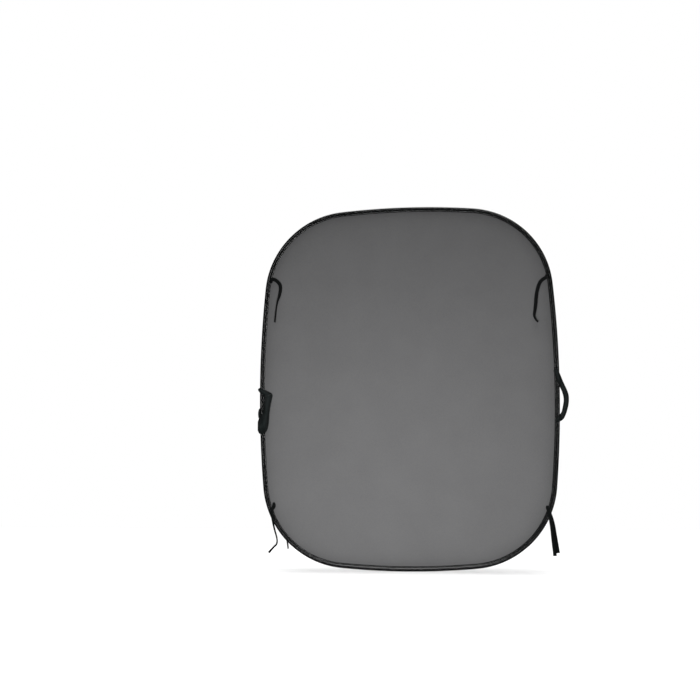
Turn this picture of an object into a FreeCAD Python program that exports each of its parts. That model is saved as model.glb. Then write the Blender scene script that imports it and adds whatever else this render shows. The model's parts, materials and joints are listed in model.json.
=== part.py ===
"""Collapsible two-sided studio backdrop panel, in millimetres.

A flat spring-steel hoop runs inside a binding that is folded round the panel's edge. A light cloth
(front) and a dark cloth (back) are stretched inside it. A webbing handle is sewn into the edge at
each side, and a pair of tie tapes, one on each face, near each corner.

+X is right as seen from the front, +Y is towards the back and +Z is up. The origin is the topmost
point of the edge, halfway through its thickness, where a stand's clip grips the panel.

The hoop bends all along its length when the panel is folded. Here it is cut into upright strips
that turn against each other about upright lines, so each soft or springy piece is one node per strip.
"""

import FreeCAD, Part
import math
import os

# Outline: eight tangent arcs
PANEL_WIDTH = 1476.0
PANEL_HEIGHT = 1800.0
CORNER_RADIUS = 428.0
TOP_BOW_RADIUS = 3650.0
SIDE_BOW_RADIUS = 5450.0

# Edge binding: one tape folded round the hoop and sewn down on both cloths
BINDING_WIDTH = 25.0
BINDING_THICKNESS = 1.0
EDGE_HALF_DEPTH = 6.0
NOSE_HALF_DEPTH = 2.0
NOSE_SHOULDER = (2.0, 4.5)
TUNNEL_DEPTH = 12.0
SEAM_INSET = 17.0
TUNNEL_SEAM_INSET = 15.5

# Cloths
CLOTH_THICKNESS = 0.9
CLOTH_GAP_HALF = 0.35
CLOTH_INSET = 15.9
CLOTH_CLEARANCE = 0.05

# Hoop: flat spring-steel band, its ends joined in a riveted sleeve
HOOP_WIDTH = 8.0
HOOP_THICKNESS = 1.2
HOOP_END_GAP = 1.0
SLEEVE_LENGTH = 50.0
SLEEVE_WALL = 0.5
SLEEVE_PLAY = 0.1
RIVET_RADIUS = 1.5
RIVET_PLAY = 0.05
RIVET_GRIP_PLAY = 0.02
RIVET_HEAD_RADIUS = 2.5
RIVET_HEAD_HEIGHT = 0.7
RIVET_X = (-13.0, 13.0)

# Upright lines that the panel bends about, on each side of its middle
FOLD_LINES = (75.0, 225.0, 375.0, 525.0)
STRIP_GAP = 5.0
CLOTH_STRIP_GAP = 1.6
CORNER_GAP = 0.5

# Handles: webbing loops that fold about an upright line just outside the edge
WEBBING_THICKNESS = 1.6
HANDLE_HINGE_OUT = 8.0
HANDLE_HINGE_PLAY = 3.2
HANDLE_END_INSET = 4.5
SLOT_PLAY = 0.15

# Right handle, lying straight out. Heights are below the top of the panel.
RIGHT_TOP = 848.0
RIGHT_BOTTOM = 1063.0
RIGHT_INNER_TOP = 915.0
RIGHT_INNER_BOTTOM = 1040.0
RIGHT_REACH = 35.0
RIGHT_INNER_REACH = 18.0
RIGHT_INNER_APEX = 977.0

# Left handle, folded over the front
LEFT_FOLD_ANGLE = 149.0
LEFT_ROOT_LENGTH = 15.2
LEFT_PLATE_Y = -7.9
LEFT_ROOTS = ((905.0, 932.0), (1062.0, 1135.0))
LEFT_OUTER = ((-734.0, 905.0), (-675.0, 925.0), (-706.0, 1125.0), (-734.0, 1135.0))
LEFT_INNER = ((-734.0, 1062.0), (-718.0, 1050.0), (-701.0, 942.0), (-734.0, 932.0))

# Tie tapes, sewn at the binding's inner edge
TAPE_WIDTH = 17.0
TAPE_THICKNESS = 0.8
TAPE_STANDOFF = 6.7
TAPE_SEAM_INSET = 21.5
TAPE_SEAM_RADIUS = 4.0
TAPE_SEAM_CLEARANCE = 0.3
UPPER_TIE_DROP = 365.0
LOWER_TIE_DROP = 1500.0

# Routes of the tapes from where each is sewn, as (sideways, up) from its start
TIE_ROUTES = {
    "tie_upper_left_front": ((0, 0), (38, -38), (34, -110), (14, -222)),
    "tie_upper_left_back": ((0, 0), (12, -60), (4, -140), (14, -236)),
    "tie_upper_right_front": ((0, 0), (-46, -42), (-68, -104), (-84, -176), (-66, -208)),
    "tie_upper_right_back": ((0, 0), (-10, -70), (4, -150), (-8, -236)),
    "tie_lower_left_front": ((0, 0), (3, -76), (16, -158), (-12, -222)),
    "tie_lower_left_back": ((0, 0), (26, -76), (62, -148), (72, -206)),
    "tie_lower_right_front": ((0, 0), (8, -72), (10, -150), (20, -224)),
    "tie_lower_right_back": ((0, 0), (18, -70), (28, -142), (42, -214)),
}
TAPE_BEND_SHARE = 0.45


def corner_centre():
    """Centre of the upper right corner arc: it touches the top arc and the side arc from inside."""
    top_z = PANEL_HEIGHT / 2 - TOP_BOW_RADIUS
    side_x = PANEL_WIDTH / 2 - SIDE_BOW_RADIUS
    top_r = TOP_BOW_RADIUS - CORNER_RADIUS
    side_r = SIDE_BOW_RADIUS - CORNER_RADIUS
    apart = math.hypot(side_x, top_z)
    along = (top_r**2 - side_r**2 + apart**2) / (2 * apart)
    across = math.sqrt(top_r**2 - along**2)
    ux, uz = side_x / apart, -top_z / apart
    return along * ux + across * uz, top_z + along * uz - across * ux


def outline_arcs():
    """The outline as (centre x, centre z, radius, start angle, end angle), counter-clockwise
    from the right side, with angles in degrees from +X towards +Z and heights from the middle."""
    cx, cz = corner_centre()
    top_z = PANEL_HEIGHT / 2 - TOP_BOW_RADIUS
    side_x = PANEL_WIDTH / 2 - SIDE_BOW_RADIUS
    low = math.degrees(math.atan2(cz, cx - side_x))
    high = math.degrees(math.atan2(cz - top_z, cx))
    return [
        (side_x, 0, SIDE_BOW_RADIUS, -low, low),
        (cx, cz, CORNER_RADIUS, low, high),
        (0, top_z, TOP_BOW_RADIUS, high, 180 - high),
        (-cx, cz, CORNER_RADIUS, 180 - high, 180 - low),
        (-side_x, 0, SIDE_BOW_RADIUS, 180 - low, 180 + low),
        (-cx, -cz, CORNER_RADIUS, 180 + low, 180 + high),
        (0, -top_z, TOP_BOW_RADIUS, 180 + high, 360 - high),
        (cx, -cz, CORNER_RADIUS, 360 - high, 360 - low),
    ]


def outline_point(arc, angle, inset, y=0.0):
    """A point of the outline moved in by inset, at an angle of one of its arcs."""
    cx, cz, radius, _, _ = arc
    a = math.radians(angle)
    x = cx + (radius - inset) * math.cos(a)
    z = cz + (radius - inset) * math.sin(a) - PANEL_HEIGHT / 2
    return FreeCAD.Vector(x, y, z)


def edge_x(drop, inset):
    """Distance of the outline, moved in by inset, from the panel's middle at a height."""
    cx, cz = corner_centre()
    height = abs(PANEL_HEIGHT / 2 - drop)
    if height > cz:
        return cx + math.sqrt((CORNER_RADIUS - inset) ** 2 - (height - cz) ** 2)
    side_x = PANEL_WIDTH / 2 - SIDE_BOW_RADIUS
    return side_x + math.sqrt((SIDE_BOW_RADIUS - inset) ** 2 - height**2)


def path_edge(points):
    """A straight edge through two points, or an arc through three."""
    if len(points) == 2:
        return Part.makeLine(*points)
    return Part.Arc(*points).toShape()


def swept_round(section, arcs=None):
    """A solid of one section carried round the outline. The section is a closed chain of pieces,
    each of two or three points given as (inset from the edge, y)."""
    solids = []
    for arc in arcs or outline_arcs():
        cx, cz, _, start, end = arc
        edges = [path_edge([outline_point(arc, start, r, y) for r, y in piece]) for piece in section]
        face = Part.Face(Part.Wire(edges))
        centre = FreeCAD.Vector(cx, 0, cz - PANEL_HEIGHT / 2)
        solids.append(face.revolve(centre, FreeCAD.Vector(0, -1, 0), end - start))
    if len(solids) == 1:
        return solids[0]
    return solids[0].fuse(solids[1:]).removeSplitter()


def closed_chain(corners):
    """Straight pieces that join the corners in order and back to the first."""
    return [(corners[i], corners[(i + 1) % len(corners)]) for i in range(len(corners))]


def binding_section():
    """The folded tape: a faceted nose over the hoop, then two flaps that close on the cloths."""
    half = EDGE_HALF_DEPTH
    thick = BINDING_THICKNESS
    shoulder_inset, shoulder_half = NOSE_SHOULDER
    flap_in = CLOTH_GAP_HALF + CLOTH_THICKNESS + CLOTH_CLEARANCE
    flap_out = flap_in + thick
    front_outside = [
        (BINDING_WIDTH, -flap_out),
        (SEAM_INSET, -flap_out),
        (TUNNEL_DEPTH, -half),
        (half, -half),
        (shoulder_inset, -shoulder_half),
        (0, -NOSE_HALF_DEPTH),
    ]
    front_inside = [
        (BINDING_WIDTH, -flap_in),
        (TUNNEL_SEAM_INSET, -flap_in),
        (TUNNEL_DEPTH - 0.4 * thick, thick - half),
        (half, thick - half),
        (shoulder_inset + 0.6 * thick, 0.7 * thick - shoulder_half),
        (thick, 0.3 * thick - NOSE_HALF_DEPTH),
    ]
    back_outside = [(inset, -y) for inset, y in reversed(front_outside)]
    back_inside = [(inset, -y) for inset, y in front_inside]
    return closed_chain(front_outside + back_outside + back_inside + front_inside[::-1])


def flat_section(middle, radial, across):
    """A rectangle, centred at an inset, with its radial and front-to-back sizes."""
    near, far = middle - radial / 2, middle + radial / 2
    half = across / 2
    return closed_chain([(near, -half), (far, -half), (far, half), (near, half)])


def outline_plate(inset, y_low, y_high):
    """A flat plate inside the outline, moved in by inset."""
    edges = []
    for arc in outline_arcs():
        start, end = arc[3], arc[4]
        angles = (start, (start + end) / 2, end)
        edges.append(path_edge([outline_point(arc, a, inset, y_low) for a in angles]))
    face = Part.Face(Part.Wire(edges))
    return face.extrude(FreeCAD.Vector(0, y_high - y_low, 0))


def strips():
    """The upright strips as {name: (left edge, right edge)}, the outer ones open-ended."""
    out = PANEL_WIDTH
    spans = {"centre": (-FOLD_LINES[0], FOLD_LINES[0])}
    for i, line in enumerate(FOLD_LINES):
        beyond = FOLD_LINES[i + 1] if i + 1 < len(FOLD_LINES) else out
        spans[f"right_{i + 1}"] = (line, beyond)
        spans[f"left_{i + 1}"] = (-beyond, -line)
    return spans


def box(low, high):
    """A box between two corners."""
    size = [h - l for l, h in zip(low, high)]
    return Part.makeBox(*size, FreeCAD.Vector(*low))


def cut_into_strips(shape, gap):
    """The parts of a shape that lie in each strip, less half the gap at each side."""
    deep = 50.0
    cut = {}
    for name, (left, right) in strips().items():
        low = (left + gap / 2, -deep, -PANEL_HEIGHT - deep)
        high = (right - gap / 2, deep, deep)
        cut[name] = shape.common(box(low, high))
    return cut


def export(shape, name):
    """Writes one node."""
    shape.exportStep(f"parts/{name}.step")
    print(name, len(shape.Solids), "solids", round(shape.Volume), "mm3")


def corner_pieces(side_strip):
    """An outer strip of the binding as {part of its name: shape}: two corners and the side between."""
    _, corner_z = corner_centre()
    half = CORNER_GAP / 2
    far = PANEL_HEIGHT
    heights = {
        "top_corner": (corner_z + half, far),
        "side": (-corner_z + half, corner_z - half),
        "bottom_corner": (-far, -corner_z - half),
    }
    pieces = {}
    for name, (low, high) in heights.items():
        around = box((-far, -far, low - PANEL_HEIGHT / 2), (far, far, high - PANEL_HEIGHT / 2))
        pieces[name] = side_strip.common(around)
    return pieces


def hoop_middle_inset():
    """The hoop lies in the middle of the binding's nose."""
    return EDGE_HALF_DEPTH


def radial_pin(x, radius, height, away=0.0):
    """A cylinder through the hoop at the bottom of the panel, square to it, moved outwards by away."""
    bottom = outline_arcs()[6]
    angle = 270 + math.degrees(math.asin(x / (TOP_BOW_RADIUS - hoop_middle_inset())))
    outer = outline_point(bottom, angle, hoop_middle_inset() - away - height / 2)
    inner = outline_point(bottom, angle, hoop_middle_inset() - away + height / 2)
    return Part.makeCylinder(radius, height, inner, outer - inner)


def rivet_holes():
    """Holes for the rivets, through the sleeve and the hoop."""
    height = 10.0
    pins = [radial_pin(x, RIVET_RADIUS + RIVET_PLAY, height) for x in RIVET_X]
    return pins[0].fuse(pins[1:])


def make_hoop():
    """The band all round, open at the bottom where its ends meet, with a rivet hole in each end."""
    section = flat_section(hoop_middle_inset(), HOOP_THICKNESS, HOOP_WIDTH)
    band = swept_round(section)
    half = HOOP_END_GAP / 2
    gap = box((-half, -20, -PANEL_HEIGHT), (half, 20, -PANEL_HEIGHT + 2 * TUNNEL_DEPTH))
    return band.cut(gap).cut(rivet_holes())


def make_sleeve():
    """The flat sleeve that joins the hoop's ends."""
    inner = (HOOP_THICKNESS + 2 * SLEEVE_PLAY, HOOP_WIDTH + 2 * SLEEVE_PLAY)
    outer = [size + 2 * SLEEVE_WALL for size in inner]
    bottom = outline_arcs()[6]
    turn = math.degrees(SLEEVE_LENGTH / TOP_BOW_RADIUS)
    arc = (*bottom[:3], 270 - turn / 2, 270 + turn / 2)
    shell = swept_round(flat_section(hoop_middle_inset(), *outer), [arc])
    hollow = swept_round(flat_section(hoop_middle_inset(), *inner), [arc])
    return shell.cut(hollow).cut(rivet_holes())


def make_rivets():
    """Two rivets with a head on each side of the sleeve."""
    grip = HOOP_THICKNESS + 2 * (SLEEVE_PLAY + SLEEVE_WALL + RIVET_GRIP_PLAY)
    away = (grip + RIVET_HEAD_HEIGHT) / 2
    solids = []
    for x in RIVET_X:
        shank = radial_pin(x, RIVET_RADIUS, grip)
        heads = [radial_pin(x, RIVET_HEAD_RADIUS, RIVET_HEAD_HEIGHT, side * away) for side in (1, -1)]
        solids.append(shank.fuse(heads).removeSplitter())
    return Part.makeCompound(solids)


def handle_end(side, drops, play=0.0):
    """A fixed webbing end: from inside the binding, out through the edge, to the fold line."""
    half = WEBBING_THICKNESS / 2 + play
    hinge = PANEL_WIDTH / 2 + HANDLE_HINGE_OUT - HANDLE_HINGE_PLAY
    inside = PANEL_WIDTH / 2 - BINDING_WIDTH
    xs = sorted((side * inside, side * hinge))
    top, bottom = drops
    plate = box((xs[0], -half, -bottom - play), (xs[1], half, -top + play))
    return plate.cut(outline_plate(HANDLE_END_INSET, -BINDING_WIDTH, BINDING_WIDTH))


def handle_ends(side, spans, play=0.0):
    """The two fixed ends of one handle."""
    return Part.makeCompound([handle_end(side, drops, play) for drops in spans])


def right_spans():
    """Heights over which the right handle meets its fold line."""
    return ((RIGHT_TOP, RIGHT_INNER_TOP), (RIGHT_INNER_BOTTOM, RIGHT_BOTTOM))


def make_right_handle():
    """A flat loop straight out from the edge: an outer and an inner arc."""
    fold_x = PANEL_WIDTH / 2 + HANDLE_HINGE_OUT
    y = -WEBBING_THICKNESS / 2

    def at(reach, drop):
        return FreeCAD.Vector(fold_x + reach, y, -drop)

    play = HANDLE_HINGE_PLAY
    outer_top, outer_bottom = at(play, RIGHT_TOP), at(play, RIGHT_BOTTOM)
    inner_top, inner_bottom = at(play, RIGHT_INNER_TOP), at(play, RIGHT_INNER_BOTTOM)
    outer_apex = at(RIGHT_REACH, (RIGHT_TOP + RIGHT_BOTTOM) / 2)
    inner_apex = at(RIGHT_INNER_REACH, RIGHT_INNER_APEX)
    edges = [
        path_edge([outer_top, outer_apex, outer_bottom]),
        path_edge([outer_bottom, inner_bottom]),
        path_edge([inner_bottom, inner_apex, inner_top]),
        path_edge([inner_top, outer_top]),
    ]
    face = Part.Face(Part.Wire(edges))
    return face.extrude(FreeCAD.Vector(0, WEBBING_THICKNESS, 0))


def make_left_handle():
    """A flat loop in front of the edge, on two roots that slant round it from the fold line."""
    y = LEFT_PLATE_Y - WEBBING_THICKNESS / 2
    corners = [FreeCAD.Vector(x, y, -drop) for x, drop in (*LEFT_OUTER, *LEFT_INNER)]
    face = Part.Face(Part.makePolygon(corners + corners[:1]))
    plate = face.extrude(FreeCAD.Vector(0, WEBBING_THICKNESS, 0))
    fold_x = -PANEL_WIDTH / 2 - HANDLE_HINGE_OUT
    half = WEBBING_THICKNESS / 2
    roots = []
    for top, bottom in LEFT_ROOTS:
        far = fold_x - LEFT_ROOT_LENGTH
        root = box((far, -half, -bottom), (fold_x - HANDLE_HINGE_PLAY, half, -top))
        root.rotate(FreeCAD.Vector(fold_x, 0, 0), FreeCAD.Vector(0, 0, 1), LEFT_FOLD_ANGLE)
        roots.append(root)
    return plate.fuse(roots).removeSplitter()


def tie_start(name):
    """Where a tape is sewn: at the binding's inner edge, at its corner's height."""
    drop = UPPER_TIE_DROP if "upper" in name else LOWER_TIE_DROP
    side = -1 if "left" in name else 1
    return side * edge_x(drop, TAPE_SEAM_INSET), -drop


def rounded_route(points):
    """Straight runs joined by tangent arcs, as large as the two runs at each corner allow."""
    edges = []
    here = points[0]
    for before, corner, after in zip(points, points[1:], points[2:]):
        back, on = before - corner, after - corner
        shorter = min(back.Length, on.Length)
        turn = math.pi - back.getAngle(on)
        reach = TAPE_BEND_SHARE * shorter
        radius = reach / math.tan(turn / 2)
        print("   tape bend radius", round(radius, 1))
        back.normalize()
        on.normalize()
        first, last = corner + back * reach, corner + on * reach
        inward = back + on
        inward.normalize()
        middle = corner + inward * (math.hypot(radius, reach) - radius)
        edges.append(Part.makeLine(here, first))
        edges.append(Part.Arc(first, middle, last).toShape())
        here = last
    edges.append(Part.makeLine(here, points[-1]))
    return Part.Wire(edges)


def make_tie(name, route):
    """A flat tape that stands off the binding, on a short round foot where it is sewn."""
    face_side = -1 if name.endswith("front") else 1
    x, z = tie_start(name)
    y = face_side * (TAPE_STANDOFF + TAPE_THICKNESS / 2)
    points = [FreeCAD.Vector(x + dx, y, z + dz) for dx, dz in route]
    along = (points[1] - points[0]).normalize()
    across = along.cross(FreeCAD.Vector(0, 1, 0)) * (TAPE_WIDTH / 2)
    through = FreeCAD.Vector(0, TAPE_THICKNESS / 2, 0)
    corners = [points[0] + a * across + t * through for a, t in ((1, 1), (1, -1), (-1, -1), (-1, 1))]
    section = Part.makePolygon(corners + corners[:1])
    route_wire = rounded_route(points)
    print(name, "length", round(route_wire.Length))
    tape = route_wire.makePipeShell([section], True, False)
    flap = CLOTH_GAP_HALF + CLOTH_THICKNESS + CLOTH_CLEARANCE + BINDING_THICKNESS
    near = flap + TAPE_SEAM_CLEARANCE
    far = TAPE_STANDOFF + TAPE_THICKNESS / 2
    base = FreeCAD.Vector(x, face_side * near, z)
    foot = Part.makeCylinder(TAPE_SEAM_RADIUS, far - near, base, FreeCAD.Vector(0, face_side, 0))
    return tape.fuse(foot).removeSplitter()


def main():
    os.makedirs("parts", exist_ok=True)
    binding = cut_into_strips(swept_round(binding_section()), STRIP_GAP)
    slots = {"right_4": handle_ends(1, right_spans(), SLOT_PLAY), "left_4": handle_ends(-1, LEFT_ROOTS, SLOT_PLAY)}
    for name, shape in binding.items():
        if name not in slots:
            export(shape, f"binding_{name}")
            continue
        side = name.split("_")[0]
        for place, piece in corner_pieces(shape.cut(slots[name])).items():
            export(piece, f"binding_{side}_{place}")
    for name, shape in cut_into_strips(make_hoop(), STRIP_GAP).items():
        export(shape, f"hoop_{name}")
    far = CLOTH_GAP_HALF + CLOTH_THICKNESS
    cloths = {
        "front_cloth": outline_plate(CLOTH_INSET, -far, -CLOTH_GAP_HALF),
        "back_cloth": outline_plate(CLOTH_INSET, CLOTH_GAP_HALF, far),
    }
    for cloth, plate in cloths.items():
        for name, shape in cut_into_strips(plate, CLOTH_STRIP_GAP).items():
            export(shape, f"{cloth}_{name}")
    export(make_sleeve(), "hoop_sleeve")
    export(make_rivets(), "hoop_rivets")
    export(handle_ends(1, right_spans()), "right_handle_ends")
    export(handle_ends(-1, LEFT_ROOTS), "left_handle_ends")
    export(make_right_handle(), "right_handle")
    export(make_left_handle(), "left_handle")
    for name, route in TIE_ROUTES.items():
        export(make_tie(name, route), name)


main()
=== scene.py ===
"""Looks of a collapsible two-sided backdrop panel: cloths, bound edge, stitching, handles and ties.

The file is laid out as an add-on and is run as a script. Lengths are in metres, +X is right as seen
from the front, +Y is towards the back, +Z is up, and the origin is the topmost point of the edge.
"""

import json
import math

import bpy
import numpy as np
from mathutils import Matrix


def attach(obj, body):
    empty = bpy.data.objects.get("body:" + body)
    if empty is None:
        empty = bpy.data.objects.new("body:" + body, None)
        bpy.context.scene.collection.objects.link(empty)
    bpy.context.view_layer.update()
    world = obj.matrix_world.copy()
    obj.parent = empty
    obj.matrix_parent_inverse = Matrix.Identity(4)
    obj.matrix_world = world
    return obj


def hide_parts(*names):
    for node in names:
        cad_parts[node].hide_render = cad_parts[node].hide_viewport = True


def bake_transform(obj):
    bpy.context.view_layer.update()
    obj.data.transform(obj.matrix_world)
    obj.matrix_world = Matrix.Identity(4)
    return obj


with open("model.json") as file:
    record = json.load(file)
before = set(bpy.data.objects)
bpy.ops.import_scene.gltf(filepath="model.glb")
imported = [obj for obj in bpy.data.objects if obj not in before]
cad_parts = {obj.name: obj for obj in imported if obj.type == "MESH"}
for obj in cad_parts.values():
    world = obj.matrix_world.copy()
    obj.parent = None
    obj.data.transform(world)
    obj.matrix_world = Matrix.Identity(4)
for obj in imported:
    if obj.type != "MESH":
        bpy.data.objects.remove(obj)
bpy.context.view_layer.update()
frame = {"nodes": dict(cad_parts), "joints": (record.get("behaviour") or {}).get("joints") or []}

bl_info = {
    "name": "Backdrop panel",
    "version": (1, 0, 0),
    "blender": (4, 5, 0),
    "location": "3D View > Sidebar > Backdrop",
    "description": "Builds the visible pieces of a collapsible two-sided backdrop panel",
    "category": "Add Mesh",
}

MM = 0.001
FRONT, BACK = -1, 1
RIGHT, LEFT = 1, -1
FACES = (("front", FRONT), ("back", BACK))
SIDES = (("right", RIGHT), ("left", LEFT))
JOINTS = {joint["name"]: joint for joint in frame["joints"]}

# Outline: eight tangent arcs, as radii about centres given from the panel's middle
PANEL_WIDTH = 1.476
PANEL_HEIGHT = 1.8
MIDDLE_Z = -PANEL_HEIGHT / 2
CORNER_RADIUS = 0.428
TOP_BOW_RADIUS = 3.650
SIDE_BOW_RADIUS = 5.450

# Upright lines that the panel bends about, and the middles of the strips between them
FOLD_LINES = [JOINTS[f"right_bend_{i}"]["pos_m"][0] for i in (1, 2, 3, 4)]
STRIP_HALF = FOLD_LINES[0]
SLEEVE_CLEAR = 0.030

# Edge: a tape folded round the hoop, its tunnel, and the two rows of stitches through its flaps
BINDING_WIDTH = 0.025
TAPE_WALL = 0.0009
TUNNEL_MIDDLE = 0.0075
TUNNEL_HALF_DEPTH = 0.0061
TUNNEL_REACH = 0.0088
RIDGE_INSET = 0.0182
RIDGE_HEIGHT = 0.0031
FLAP_SLOPE = 0.19
SEAM_INSET = 0.0168
HEM_SEAM_INSET = 0.0232
HOOP_INSET = 0.006
HOOP_WIDTH = 0.008
HOOP_THICKNESS = 0.0012

# Distances between rings of points along the edge: in the corners, on the top and bottom runs, on the
# sides, and along the hoop
CORNER_RINGS = 0.0015
RUN_RINGS = 0.003
SIDE_RINGS = 0.0019
HOOP_RINGS = 0.006

# Cloths
CLOTH_INSET = 0.0159
CLOTH_FACE = 0.00125
CLOTH_INSIDE = 0.0004
# Painted shade on the cloths beside the seam: how much it darkens the colour, and how far in it reaches
SEAM_SHADE = 0.55
SEAM_SHADE_REACH = 0.034

# Webbing
WEBBING_HALF_WIDTH = 0.012
LANE_WIDTH = 0.0031

# Thread: its radius on the edge and on the boxes, how much of each step a stitch fills, and how far
# its middle stands off the tape
THREAD_RADIUS = 0.00036
STITCH_FILL = 0.78
THREAD_LIFT = 0.00012
BOX_THREAD_RADIUS = 0.0004
BOX_STITCH = 0.0026
BOX_PITCH = 0.0032
BOX_LIFT = 0.00095


# ---------------------------------------------------------------- the outline


def corner_centre():
    """Centre of the upper right corner arc: it touches the top arc and the side arc from inside,
    so it lies at the crossing of two circles about their centres."""
    top_z = PANEL_HEIGHT / 2 - TOP_BOW_RADIUS
    side_x = PANEL_WIDTH / 2 - SIDE_BOW_RADIUS
    top_r = TOP_BOW_RADIUS - CORNER_RADIUS
    side_r = SIDE_BOW_RADIUS - CORNER_RADIUS
    apart = math.hypot(side_x, top_z)
    along = (top_r**2 - side_r**2 + apart**2) / (2 * apart)
    across = math.sqrt(top_r**2 - along**2)
    ux, uz = side_x / apart, -top_z / apart
    return along * ux + across * uz, top_z + along * uz - across * ux


CORNER_X, CORNER_Z = corner_centre()
TOP_Z = PANEL_HEIGHT / 2 - TOP_BOW_RADIUS
SIDE_X = PANEL_WIDTH / 2 - SIDE_BOW_RADIUS
LOW = math.atan2(CORNER_Z, CORNER_X - SIDE_X)
HIGH = math.atan2(CORNER_Z - TOP_Z, CORNER_X)
LINE_INSET = BINDING_WIDTH / 2
TOP_RUN = (TOP_BOW_RADIUS - LINE_INSET) * (math.pi / 2 - HIGH)
CORNER_RUN = (CORNER_RADIUS - LINE_INSET) * (HIGH - LOW)
SIDE_RUN = (SIDE_BOW_RADIUS - LINE_INSET) * LOW
QUARTER = TOP_RUN + CORNER_RUN + SIDE_RUN


def outline_at(along, inset):
    """x and z (from the middle) of the right half's outline, moved in by inset, at a distance along
    the binding's middle line from the top centre. The normal's angle falls from 90 degrees by
    distance over radius in each arc in turn, and the point is the arc's centre plus its radius less
    the inset at that angle. Past the side's middle it is the mirror image."""
    above = np.where(along <= QUARTER, 1.0, -1.0)
    way = np.minimum(along, 2 * QUARTER - along)
    angle = (
        math.pi / 2
        - np.minimum(way, TOP_RUN) / (TOP_BOW_RADIUS - LINE_INSET)
        - np.clip(way - TOP_RUN, 0, CORNER_RUN) / (CORNER_RADIUS - LINE_INSET)
        - np.maximum(way - TOP_RUN - CORNER_RUN, 0) / (SIDE_BOW_RADIUS - LINE_INSET)
    )
    in_top, in_side = way < TOP_RUN, way > TOP_RUN + CORNER_RUN
    radius = np.where(in_top, TOP_BOW_RADIUS, np.where(in_side, SIDE_BOW_RADIUS, CORNER_RADIUS)) - inset
    x = np.where(in_top, 0.0, np.where(in_side, SIDE_X, CORNER_X)) + radius * np.cos(angle)
    z = np.where(in_top, TOP_Z, np.where(in_side, 0.0, CORNER_Z)) + radius * np.sin(angle)
    return x, above * z


def arc_ways(top_angle, corner_angle):
    """Distances along from the top centre to an angle on the top arc and to one on the corner arc."""
    top_way = (TOP_BOW_RADIUS - LINE_INSET) * (math.pi / 2 - top_angle)
    return top_way, TOP_RUN + (CORNER_RADIUS - LINE_INSET) * (HIGH - corner_angle)


def along_at(x, inset):
    """Distance along from the top centre to where the outline, moved in by inset, crosses an upright
    line at x: the arc cosine of x over the radius gives the angle, and so the length."""
    x, inset = np.broadcast_arrays(x, inset)
    top_r, corner_r = TOP_BOW_RADIUS - inset, CORNER_RADIUS - inset
    in_top = x <= top_r * math.cos(HIGH)
    top_angle = np.arccos(np.clip(x / top_r, -1, 1))
    corner_angle = np.arccos(np.clip((x - CORNER_X) / corner_r, -1, 1))
    return np.where(in_top, *arc_ways(top_angle, corner_angle))


def rim_place(x, z):
    """How far a point is inside the edge, and its distance along it: radius less distance from the
    centre of the arc that it faces, with z from the panel's middle."""
    ax, az = np.abs(x), np.abs(z)
    corner_angle = np.arctan2(az - CORNER_Z, ax - CORNER_X)
    top_in = TOP_BOW_RADIUS - np.hypot(ax, az - TOP_Z)
    side_in = SIDE_BOW_RADIUS - np.hypot(ax - SIDE_X, az)
    in_corner = (corner_angle > LOW) & (corner_angle < HIGH)
    corner_in = CORNER_RADIUS - np.hypot(ax - CORNER_X, az - CORNER_Z)
    inset = np.where(in_corner, corner_in, np.minimum(top_in, side_in))
    top_angle = np.maximum(np.arctan2(az - TOP_Z, ax), HIGH)
    side_angle = np.minimum(np.arctan2(az, ax - SIDE_X), LOW)
    top_way, corner_way = arc_ways(top_angle, corner_angle)
    side_way = TOP_RUN + CORNER_RUN + (SIDE_BOW_RADIUS - LINE_INSET) * (LOW - side_angle)
    way = np.where(in_corner, corner_way, np.where(top_in < side_in, top_way, side_way))
    return inset, np.where(z >= 0, way, 2 * QUARTER - way)


def smooth(value, start, end):
    """0 before start, 1 after end, and 3t^2 - 2t^3 between them."""
    t = np.clip((value - start) / (end - start), 0, 1)
    return t * t * (3 - 2 * t)


def in_corners(along):
    """1 where the edge runs round a corner, falling to 0 on the straighter runs."""
    way = np.minimum(along, 2 * QUARTER - along)
    fade = 0.06
    entering = smooth(way, TOP_RUN - fade / 3, TOP_RUN + fade)
    leaving = smooth(way, TOP_RUN + CORNER_RUN - fade, TOP_RUN + CORNER_RUN + fade / 3)
    return entering * (1 - leaving)


def gathers(along, pitch, unevenness):
    """Ripples of the sewn edge, from 0 to 1: a sine of the distance along, whose phase wanders with
    two slower sines so that no two are the same width."""
    turn = 2 * math.pi * along
    wander = np.sin(turn / (5.3 * pitch)) + np.sin(turn / (8.9 * pitch) + 2.0)
    phase = turn / pitch + unevenness * wander
    return 0.5 + 0.5 * np.sin(phase)


# ---------------------------------------------------------------- meshes


def add_object(name, data):
    """A new object in the scene."""
    made = bpy.data.objects.new(name, data)
    bpy.context.scene.collection.objects.link(made)
    return made


def lengths_along(points, axis):
    """Distance run along one direction of a grid of points, from 0."""
    steps = np.linalg.norm(np.diff(points, axis=axis), axis=2)
    zero = np.zeros_like(np.take(steps, [0], axis=axis))
    return np.concatenate([zero, np.cumsum(steps, axis=axis)], axis=axis)


def grid_normals(points):
    """Unit normals of a grid: the cross product of its two directions."""
    normal = np.cross(np.gradient(points, axis=0), np.gradient(points, axis=1))
    return normal / np.maximum(np.linalg.norm(normal, axis=2, keepdims=True), 1e-12)


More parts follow.
